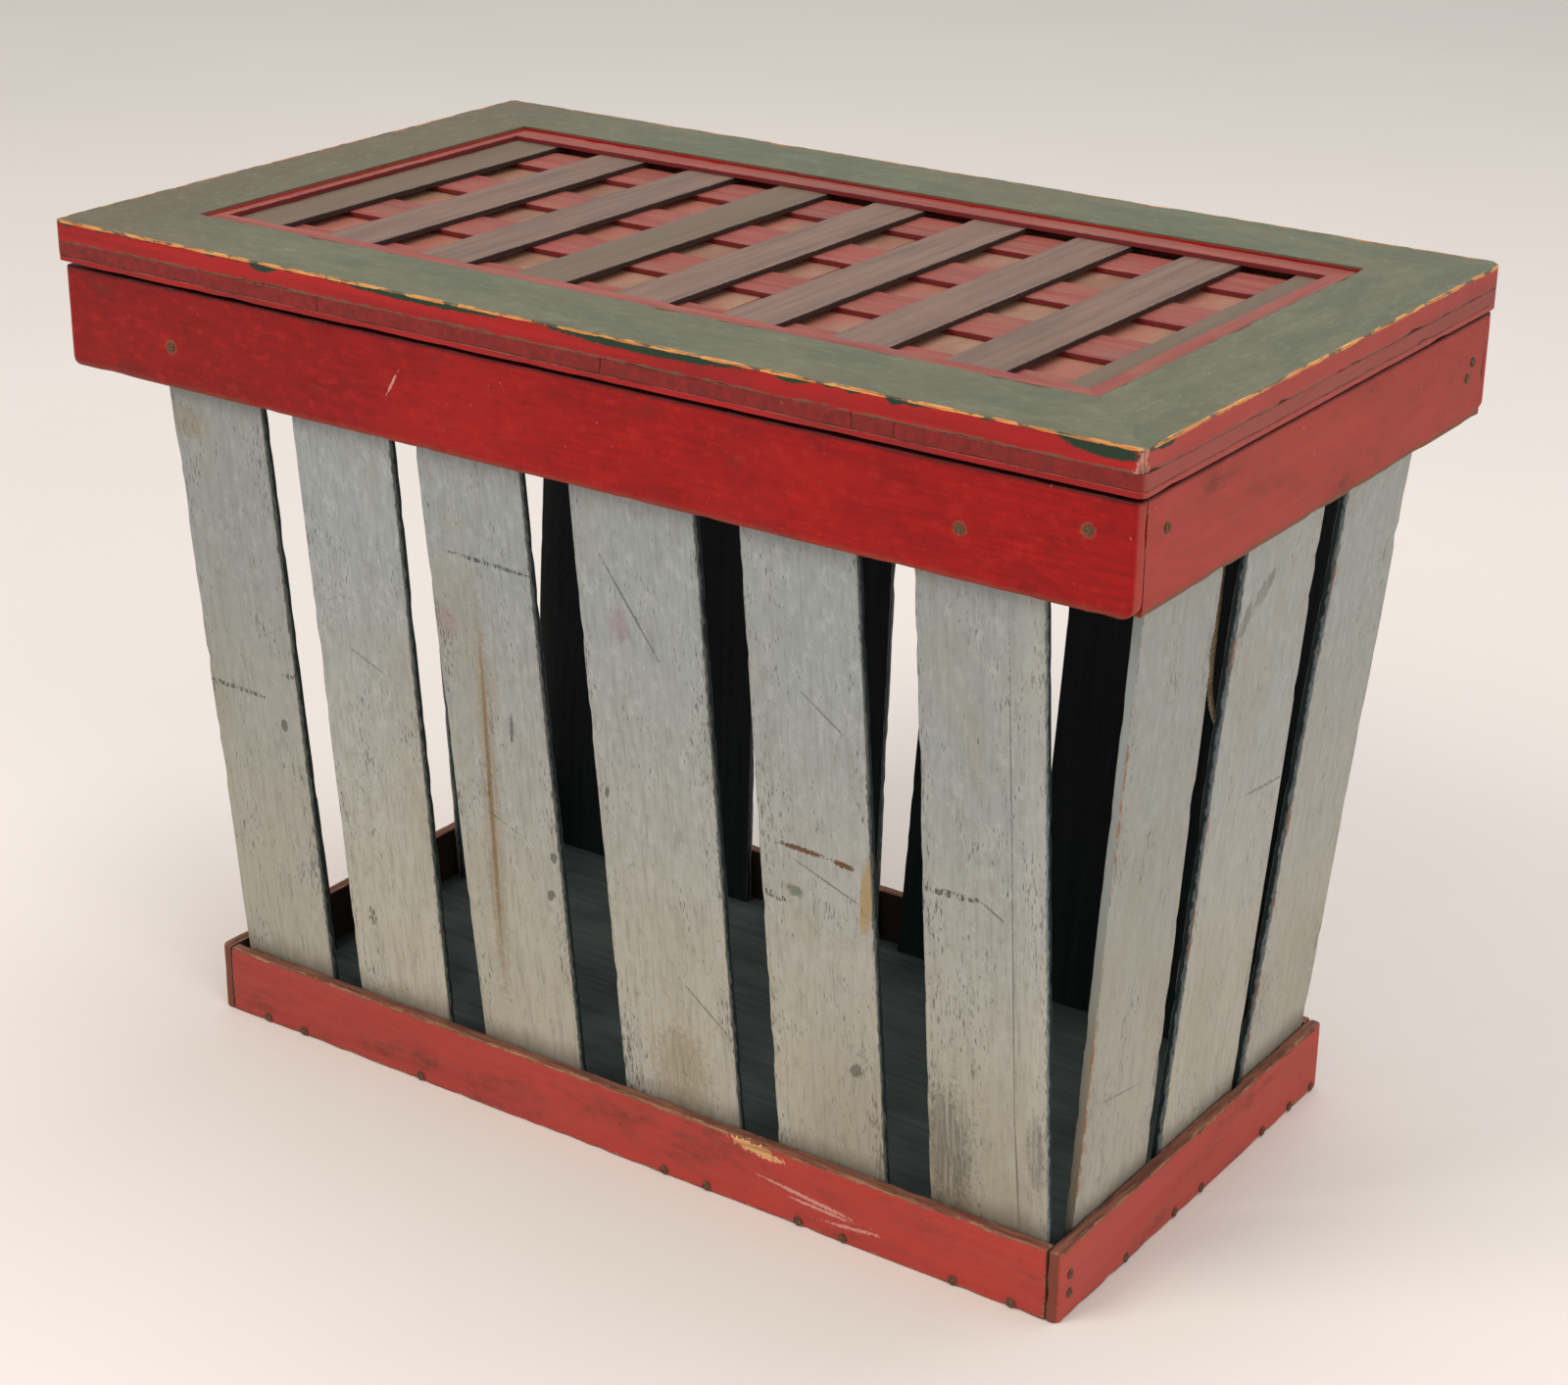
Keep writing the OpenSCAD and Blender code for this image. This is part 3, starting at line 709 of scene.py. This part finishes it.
    # Bare wood shows orange along the front arris of the right end's slats
    orange = s.both(s.step(s.edge, 0.0018, 0.0006), s.step(s.size(s.sub(s.w, s.hw)), 0.0034, 0.0016))
    orange = s.both(orange, s.both(s.step(s.cloud, 0.49, 0.57), s.step(s.speck, 0.44, 0.54)))
    orange = s.both(orange, s.both(right_end, s.step(s.v, 0.0, 0.001)))
    color = s.mix(s.mul(orange, 0.8), color, rgb(146, 100, 66))
    inside = s.mix(s.mul(s.step(s.grain, 0.35, 0.7), 0.6), rgb(22, 28, 27), rgb(42, 50, 47))
    inside = s.mix(s.mul(s.both(chips, s.step(z, 0.25, 0.1)), 0.4), inside, rgb(110, 104, 92))
    color = s.mix(s.inner, color, inside)
    relief = s.add(s.mul(s.streak, 0.5), s.add(s.mul(s.fine, 0.3), s.mul(dark, -0.7)))
    relief = s.add(relief, s.add(s.mul(worn, -0.5), s.mul(gouge, -1.5)))
    roughness = s.add(0.52, s.mul(s.cloud, 0.22))
    return s.finish(color, roughness, relief, 0.6, 0.35)


def red_paint():
    """Satin red on the apron and the tray, duller and dustier low down; the end faces are paler pink and
    duller, set by which way they face.
    """
    s = WoodShader("red_paint", specular=0.18)
    x, _, z = s.split(s.place())
    nx, _, _ = s.facing()
    tray = s.step(z, 0.2, 0.1)
    color = s.mix(s.step(s.streak, 0.3, 0.7), rgb(134, 7, 6), rgb(156, 11, 9))
    color = s.mix(s.mul(tray, 0.6), color, rgb(176, 20, 18))
    color = s.mix(s.mul(s.step(s.cloud, 0.42, 0.7), 0.5), color, rgb(104, 8, 8))
    # Painted shade: the red darkens towards the left end, leaving the right brighter
    color = s.mix(s.mul(s.step(x, 0.1, -0.28), 0.45), color, rgb(98, 9, 9))
    color = s.mix(s.mul(s.step(s.blotch, 0.5, 0.7), 0.35), color, rgb(168, 24, 18))
    color = s.mix(s.mul(s.step(s.mottle, 0.50, 0.68), 0.35), color, rgb(178, 34, 24))
    color = s.mix(s.mul(s.step(s.mottle, 0.44, 0.30), 0.45), color, rgb(98, 12, 12))
    # The tray carries dust, and the end faces are made paler pink by which way they face; both more so in
    # the grain
    right_end = s.step(nx, 0.6, 0.9)
    left_end = s.step(nx, -0.6, -0.9)
    dust_and_pale_ends = s.either(s.mul(right_end, 0.40), s.mul(left_end, 0.3), s.mul(tray, 0.36),
                    s.mul(s.both(tray, right_end), 0.55))
    dust_and_pale_ends = s.mul(dust_and_pale_ends, s.add(0.55, s.mul(s.grain, 0.9)))
    color = s.mix(dust_and_pale_ends, color, rgb(182, 98, 84))
    ragged_z = s.add(z, s.mul(s.sub(s.speck, 0.5), 0.006))
    rim = s.both(tray, s.step(ragged_z, TRAY_TOP - 0.0025, TRAY_TOP))
    rim_wood = s.mix(s.step(s.streak, 0.4, 0.6), rgb(88, 64, 50), rgb(132, 98, 76))
    color = s.mix(s.mul(rim, 0.85), color, rim_wood)
    # Dirt, chips and worn arrises
    dirt = s.both(s.step(s.add(s.cloud, s.mul(tray, 0.04)), 0.58, 0.74), s.step(s.speck, 0.38, 0.6))
    color = s.mix(s.mul(dirt, 0.6), color, rgb(84, 50, 40))
    flecks = s.dashes(0.55)
    chips = s.chipped(0.42)
    worn = s.either(s.worn_edge(1.7, 0.42), s.both(s.worn_edge(4.0, 0.60), tray))
    scuffs = s.both(s.step(s.add(s.streak, s.mul(s.sub(s.cloud, 0.5), 0.5)), 0.62, 0.72), tray)
    color = s.mix(s.mul(scuffs, 0.45), color, rgb(122, 76, 60))
    color = s.mix(s.mul(flecks, 0.7), color, rgb(70, 26, 24))
    color = s.mix(chips, color, s.mix(s.step(s.fine, 0.45, 0.6), rgb(92, 58, 42), rgb(186, 128, 96)))
    color = s.mix(s.mul(worn, 0.9), color, s.flecked((88, 52, 38), (168, 120, 84)))
    # The apron's lower arris has lost its paint at the ends
    hem = s.both(s.step(ragged_z, APRON_LOW + 0.0037, APRON_LOW + 0.0011), s.flip(tray))
    hem = s.mul(hem, s.add(0.3, s.mul(s.step(s.size(nx), 0.5, 0.9), 0.6)))
    color = s.mix(hem, color, rgb(112, 78, 56))
    # Painted shade along the apron's top arris, under the lid's seam, with some grime
    seam_shade_and_grime = s.step(s.add(z, s.mul(s.sub(s.speck, 0.5), 0.002)), APRON_TOP - 0.0024, APRON_TOP - 0.0004)
    color = s.mix(s.mul(seam_shade_and_grime, 0.75), color, rgb(46, 16, 15))
    # Rust and bare wood round the apron's nails
    front = [s.mark((across, -175.9, up), (1, 0, 0), 3.2, 3.2, 0.25, 35.0 + up, soft=0.8)
             for across, up in ((-231, 390), (220, 392), (280, 404))]
    right = [s.mark((302.6, across, up), (0, 1, 0), 3.2, 3.2, 0.25, 36.0 + up, soft=0.8)
             for across, up in ((-152, 403), (155, 399), (150, 392))]
    ring = s.either(*front, *right)
    color = s.mix(s.mul(ring, 0.65), color, rgb(142, 100, 70))
    pale = s.both(s.step(s.noise(s.place(), 330, 2.0, 0.5), 0.73, 0.76), s.flip(tray))
    color = s.mix(s.mul(pale, 0.5), color, rgb(196, 120, 104))
    splinter = s.both(s.mark((94, -137, 34), (1, 0, -0.12), 14, 2.6, 0.9, 31.0), s.step(z, 0.02, 0.03))
    color = s.mix(splinter, color, s.bare((226, 176, 118), (150, 96, 58)))
    scratch = s.either(s.mark((125, -137, 17.5), (1, 0, -0.10), 26, 1.0, 0.7, 32.0),
                       s.mark((132, -137, 14.0), (1, 0, -0.04), 17, 0.8, 0.7, 32.5),
                       s.mark((-88, -175.9, 398), (0.5, 0, 0.86), 6, 0.6, 0.9, 33.0),
                       s.mark((150, -137, 10), (1, 0, 0.1), 14, 0.8, 1.2, 34.0))
    color = s.mix(s.mul(scratch, 0.65), color, rgb(206, 160, 146))
    # Old end grain shows brown where the end boards lap the long ones
    cut = s.both(s.end, tray)
    color = s.mix(s.mul(cut, 0.75), color, rgb(96, 62, 46))
    color = s.mix(s.inner, color, s.mix(s.mul(s.grain, 0.7), rgb(34, 30, 28), rgb(86, 62, 50)))
    relief = s.add(s.mul(s.grain, 0.55), s.mul(s.fine, 0.2))
    relief = s.add(relief, s.add(s.mul(chips, -0.8), s.mul(worn, -0.5)))
    relief = s.add(relief, s.mul(splinter, s.mul(s.fine, -2.0)))
    roughness = s.add(0.34, s.add(s.mul(dust_and_pale_ends, 0.5), s.mul(s.cloud, 0.16)))
    return s.finish(color, roughness, relief, 0.5, 0.3)


def frame_paint():
    """Green on top of the mitred lid frame, red on its edges, with green runs over the front arris."""
    s = WoodShader("green_paint", specular=0.3)
    x, y, _ = s.split(s.place())
    nx, _, _ = s.facing()
    green = s.mix(s.step(s.cloud, 0.35, 0.7), rgb(88, 90, 66), rgb(104, 104, 78))
    green = s.mix(s.mul(s.step(s.streak, 0.45, 0.7), 0.45), green, rgb(78, 75, 54))
    green = s.mix(s.mul(s.step(x, -0.18, -0.3), 0.6), green, rgb(96, 78, 56))
    green = s.mix(s.mul(s.step(s.blotch, 0.5, 0.7), 0.4), green, rgb(112, 94, 70))
    green = s.mix(s.mul(s.step(s.mottle, 0.50, 0.68), 0.35), green, rgb(122, 122, 98))
    green = s.mix(s.mul(s.step(s.mottle, 0.44, 0.30), 0.35), green, rgb(76, 74, 54))
    pale = s.both(s.step(s.speck, 0.64, 0.70), s.step(s.cloud, 0.48, 0.62))
    green = s.mix(s.mul(pale, 0.5), green, rgb(178, 178, 160))
    green = s.mix(s.mul(s.dashes(0.5), 0.6), green, rgb(58, 54, 42))
    red = s.mix(s.step(s.grain, 0.35, 0.68), rgb(140, 10, 9), rgb(164, 16, 13))
    red = s.mix(s.mul(s.step(s.cloud, 0.5, 0.72), 0.5), red, rgb(106, 20, 20))
    red = s.mix(s.mul(s.step(s.size(nx), 0.6, 0.9), 0.4), red, rgb(176, 84, 72))
    below = s.sub(s.hw, s.w)
    runs = s.noise(s.stretch(s.board, 34, 0, 0), 1.0, 2.0, 0.5, s.seed)
    run = s.step(s.sub(below, s.add(0.0006, s.mul(s.step(runs, 0.44, 0.66), 0.0042))), 0.0003, -0.0003)
    run = s.either(s.both(run, s.step(runs, 0.42, 0.47)),
                   s.mark((285, -178, 440), (1, 0, -0.06), 18, 3.4, 0.15, 42.0),
                   s.mark((-66, -178, 441.6), (1, 0, 0), 46, 2.2, 0.2, 43.0),
                   s.mark((58, -178, 441.2), (1, 0, 0), 50, 2.8, 0.2, 44.0))
    run = s.both(run, s.step(y, -0.12, -0.14))
    red = s.mix(run, red, rgb(22, 46, 28))
    color = s.mix(s.step(below, 0.0012, 0.0006), red, green)
    # Bright bare wood flickers along the outer arris
    outer_line = s.step(s.size(s.sub(below, 0.0006)), 0.0022, 0.0002)
    broken = s.wood(55, 200, 4.0, 0.65, 4.0)
    bright = s.step(s.add(s.mul(outer_line, 0.42), broken), 0.84, 0.90)
    outer = s.either(s.step(s.size(x), LID_HALF_L - 0.0045, LID_HALF_L - 0.0030),
                     s.step(s.size(y), LID_HALF_W - 0.0045, LID_HALF_W - 0.0030))
    bright = s.both(bright, s.both(s.step(s.edge, 0.0018, 0.0008), outer))
    color = s.mix(bright, color, s.flecked((190, 110, 48), (222, 160, 88)))
    dull = s.step(s.add(s.mul(s.step(s.edge, 0.003, 0.0), 0.5), s.speck), 0.86, 0.95)
    color = s.mix(s.mul(s.both(dull, s.flip(bright)), 0.8), color, rgb(96, 78, 56))
    chips = s.chipped(0.28)
    color = s.mix(s.mul(chips, 0.8), color, rgb(98, 62, 44))
    corner = s.mark((304.5, -177.5, 430), (0, 0, 1), 14, 3.4, 1.0, 41.0)
    color = s.mix(s.mul(corner, 0.7), color, rgb(196, 140, 122))
    color = s.mix(s.inner, color, rgb(90, 44, 38))
    relief = s.add(s.mul(s.grain, 0.55), s.add(s.mul(s.fine, 0.2), s.mul(chips, -0.7)))
    relief = s.add(relief, s.mul(bright, -0.5))
    roughness = s.add(0.42, s.mul(s.cloud, 0.18))
    return s.finish(color, roughness, relief, 0.5, 0.3)


def lid_paint(name, light, dark, dusty):
    """The red boards and sheet that the lid is built on: dusty where they show between the laths."""
    s = WoodShader(name, specular=0.28)
    nx, _, nz = s.facing()
    color = s.mix(s.step(s.grain, 0.32, 0.7), rgb(*dark), rgb(*light))
    color = s.mix(s.mul(s.step(s.cloud, 0.48, 0.7), 0.5), color, rgb(106, 34, 32))
    color = s.mix(s.mul(s.step(s.size(nx), 0.6, 0.9), 0.45), color, rgb(168, 92, 80))
    top = s.step(nz, 0.5, 0.8)
    tan = s.mix(s.step(s.cloud, 0.35, 0.65), rgb(*dusty), rgb(154, 116, 92))
    tan = s.mix(s.mul(s.step(s.blotch, 0.48, 0.6), 0.6), tan, rgb(160, 84, 70))
    color = s.mix(top, color, tan)
    color = s.mix(s.mul(s.dashes(0.6), 0.75), color, rgb(56, 30, 26))
    chips = s.chipped(0.5)
    color = s.mix(s.mul(chips, 0.85), color, s.flecked((76, 46, 36), (176, 112, 82)))
    worn = s.worn_edge(1.1, 0.36)
    color = s.mix(s.mul(worn, 0.8), color, rgb(74, 26, 22))
    underside = s.step(nz, -0.5, -0.8)
    color = s.mix(underside, color, s.mix(s.mul(s.grain, 0.8), rgb(44, 34, 30), rgb(104, 66, 52)))
    relief = s.add(s.mul(s.grain, 0.6), s.add(s.mul(s.fine, 0.25), s.mul(chips, -0.7)))
    roughness = s.add(0.42, s.mul(s.cloud, 0.25))
    return s.finish(color, roughness, relief, 0.5, 0.3)


def lath_paint(name, top, bottom, side, worn_to, specular=0.35):
    """Dusty paint on a thin lath: two tones on top, a darker one down its sides."""
    s = WoodShader(name, specular=specular)
    color = s.mix(s.step(s.grain, 0.32, 0.7), rgb(*bottom), rgb(*top))
    color = s.mix(s.mul(s.step(s.cloud, 0.45, 0.7), 0.45), color, rgb(*worn_to))
    color = s.mix(s.mul(s.tone, 0.65), color, rgb(98, 86, 64))
    color = s.mix(s.mul(s.step(s.blotch, 0.5, 0.72), 0.35), color, rgb(94, 74, 62))
    color = s.mix(s.mul(s.dashes(0.55), 0.7), color, rgb(50, 36, 32))
    chips = s.chipped(0.45)
    color = s.mix(s.mul(chips, 0.6), color, rgb(178, 148, 122))
    worn = s.worn_edge(1.4, 0.5)
    color = s.mix(s.mul(worn, 0.7), color, rgb(70, 48, 42))
    color = s.mix(s.both(s.side, s.step(s.edge, 0.0001, 0.0005)), color, rgb(*side))
    relief = s.add(s.mul(s.grain, 0.6), s.add(s.mul(s.fine, 0.3), s.mul(chips, -0.5)))
    roughness = s.add(0.45, s.mul(s.cloud, 0.25))
    return s.finish(color, roughness, relief, 0.5, 0.25)


def dark_inside():
    """The floor and the rails inside: dark teal paint, dulled by use."""
    s = WoodShader("dark_inside", specular=0.3)
    color = s.mix(s.step(s.grain, 0.3, 0.7), rgb(88, 97, 93), rgb(112, 120, 114))
    color = s.mix(s.mul(s.step(s.cloud, 0.45, 0.7), 0.6), color, rgb(78, 86, 82))
    color = s.mix(s.mul(s.chipped(0.5), 0.6), color, rgb(112, 100, 84))
    color = s.mix(s.mul(s.dashes(0.6), 0.7), color, rgb(16, 20, 20))
    color = s.mix(s.inner, color, s.bare((122, 96, 70), (78, 58, 42)))
    relief = s.add(s.mul(s.grain, 0.7), s.mul(s.fine, 0.3))
    return s.finish(color, s.add(0.5, s.mul(s.cloud, 0.25)), relief, 0.6, 0.35)


def iron(name, rust, deep=(74, 42, 28), light=(118, 70, 42)):
    """Old iron: dark scale with rust, more of it as `rust` goes to 1."""
    s = Shader(name, metallic=0.4, specular=0.4)
    place = s.place()
    coarse = s.noise(place, 240, 4.0, 0.65)
    fine = s.noise(place, 1400, 4.0, 0.6)
    rusty = s.step(s.add(coarse, s.mul(s.sub(fine, 0.5), 0.3)), 0.62 - 0.3 * rust, 0.72 - 0.3 * rust)
    color = s.mix(s.step(fine, 0.35, 0.65), rgb(52, 48, 46), rgb(92, 86, 80))
    color = s.mix(rusty, color, s.mix(s.step(fine, 0.4, 0.6), rgb(*deep), rgb(*light)))
    relief = s.add(s.mul(coarse, 0.6), s.mul(fine, 0.6))
    return s.finish(color, s.add(0.42, s.mul(rusty, 0.4)), relief, 0.7, 0.25)


def twine():
    """Cotton twine: cream strands with painted shade in the grooves between them, and fibres that follow the
    lay.
    """
    s = Shader("twine", specular=0.2)
    strand = s.vector("strand")
    _, lobe, _ = s.split(strand)
    fibre = s.noise(s.stretch(strand, 900, 60, 1), 1.0, 3.0, 0.7)
    dirt = s.noise(s.place(), 60, 3.0, 0.6)
    # Painted shade: darker where the strands meet in the grooves
    color = s.mix(s.step(lobe, 0.05, 0.6), rgb(142, 114, 76), rgb(226, 200, 156))
    color = s.mix(s.mul(s.step(fibre, 0.35, 0.7), 0.5), color, rgb(240, 222, 186))
    color = s.mix(s.mul(s.step(dirt, 0.5, 0.7), 0.5), color, rgb(128, 106, 78))
    s.surface.inputs["Sheen Weight"].default_value = 0.3
    return s.finish(color, 0.9, s.add(fibre, s.mul(lobe, 0.6)), 0.6, 0.2)


# ---------------------------------------------------------------- the crate

UP = (0, 0, 1)
grey = slat_paint()
red = red_paint()
green = frame_paint()
lid_boards_paint = lid_paint("bare_boards", (132, 28, 24), (104, 20, 18), (134, 92, 70))
bright_red = lid_paint("bright_red_paint", (164, 18, 15), (138, 12, 11), (160, 84, 70))
brown = lath_paint("brown_paint", (130, 101, 86), (104, 80, 68), (42, 29, 25), (136, 104, 84))
dusty_red = lath_paint("dusty_red_paint", (156, 78, 64), (130, 56, 46), (108, 24, 24), (142, 98, 78))
dark = dark_inside()
old_iron = iron("old_iron", 0.55)
nail_iron = iron("old_nails", 0.95, (66, 46, 35), (124, 88, 62))
cotton = twine()

for piece in cord_pieces:
    piece.data.materials.append(cotton)

boards("floor_board", dark, "dark_inside", UP, edge=0.5, step=16)
for side, out in (("front", (0, -1, 0)), ("back", (0, 1, 0)), ("left", (-1, 0, 0)), ("right", (1, 0, 0))):
    boards(f"base_{side}", red, "red_paint", out, edge=1.2, warp=0.3, chips=1.0)
    butted = side in ("left", "right")
    boards(f"apron_{side}", red, "red_paint", out, edge=1.1, warp=0.2, chips=0.7, jointed=butted)
    boards(f"lid_frame_{side}", green, "green_paint", UP, edge=1.1, warp=0.1, chips=0.7, jointed=True)
    boards(f"moulding_{side}", dusty_red, "dusty_red_paint", UP, edge=0.4, warp=0.1, chips=0.4, jointed=True)
    for i in range(6 if side in ("front", "back") else 3):
        tone = (0.45, 0.0, 0.2, 0.1, 0.1, 0.15)[i]
        boards(f"{side}_slat_{i + 1}", grey, "grey_paint", out, tone, edge=0.9, warp=0.5, chips=0.9)
for node in ("long_rails", "end_rails"):
    boards(node, dark, "dark_inside", UP, edge=0.8, step=20)
boards("lid_sheet", bright_red, "bright_red_paint", UP, edge=0.5, warp=0.1, chips=0.5, step=12)
boards("lid_boards", lid_boards_paint, "bare_boards", UP, edge=0.5, warp=0.15, chips=0.6, step=10)
for i in range(4):
    boards(f"row_lath_{i + 1}", dusty_red, "dusty_red_paint", UP, edge=0.4, warp=0.1, chips=0.5)
for i in range(9):
    tone = 0.9 if i in (0, 3, 8) else 0.0
    boards(f"slat_lath_{i + 1}", brown, "brown_paint", UP, tone, edge=0.4, warp=0.1, chips=0.5)

for name in ("crate_hinge_leaves", "lid_hinge_leaves", "hinge_pins", "crate_stay_eye", "lid_stay_eye"):
    nodes[name].data.materials.clear()
    nodes[name].data.materials.append(old_iron)
for name in ("base_nails", "apron_nails"):
    nodes[name].data.materials.clear()
    nodes[name].data.materials.append(nail_iron)


# ---------------------------------------------------------------- floor and light

def make_floor():
    s = Shader("pale_floor", specular=0.2)
    cloth = s.noise(s.place(), 3.0, 3.0, 0.5)
    s.finish(s.mix(cloth, rgb(236, 226, 216), rgb(230, 220, 210)), 0.9)
    reach = 8
    corners = [(-reach, -reach, 0), (reach, -reach, 0), (reach, reach, 0), (-reach, reach, 0)]
    floor = mesh_object("floor", corners, [(0, 1, 2, 3)])
    floor.data.materials.append(s.material)


def make_lights():
    world = bpy.data.worlds.new("studio")
    bpy.context.scene.world = world
    world.use_nodes = True
    background = world.node_tree.nodes["Background"]
    background.inputs["Color"].default_value = (0.93, 0.96, 1.0, 1)
    background.inputs["Strength"].default_value = 0.62
    for name, place, aim, size, power, tint in (
        ("key", (-1.1, -2.2, 2.6), (0, 0, 0.2), 1.6, 52, (1.0, 0.97, 0.93)),
        ("fill", (2.4, -1.2, 1.6), (0, 0, 0.25), 1.6, 23, (1.0, 0.98, 0.96)),
        ("top", (0.2, 0.8, 3.0), (0, 0, 0.3), 2.0, 30, (0.97, 0.98, 1.0)),
    ):
        data = bpy.data.lights.new(name, "AREA")
        data.size = size
        data.energy = power
        data.color = tint
        lamp = bpy.data.objects.new(name, data)
        bpy.context.scene.collection.objects.link(lamp)
        lamp.location = place
        lamp.rotation_euler = (Vector(aim) - Vector(place)).to_track_quat("-Z", "Y").to_euler()


make_floor()
make_lights()
bpy.context.scene.view_settings.view_transform = "Standard"
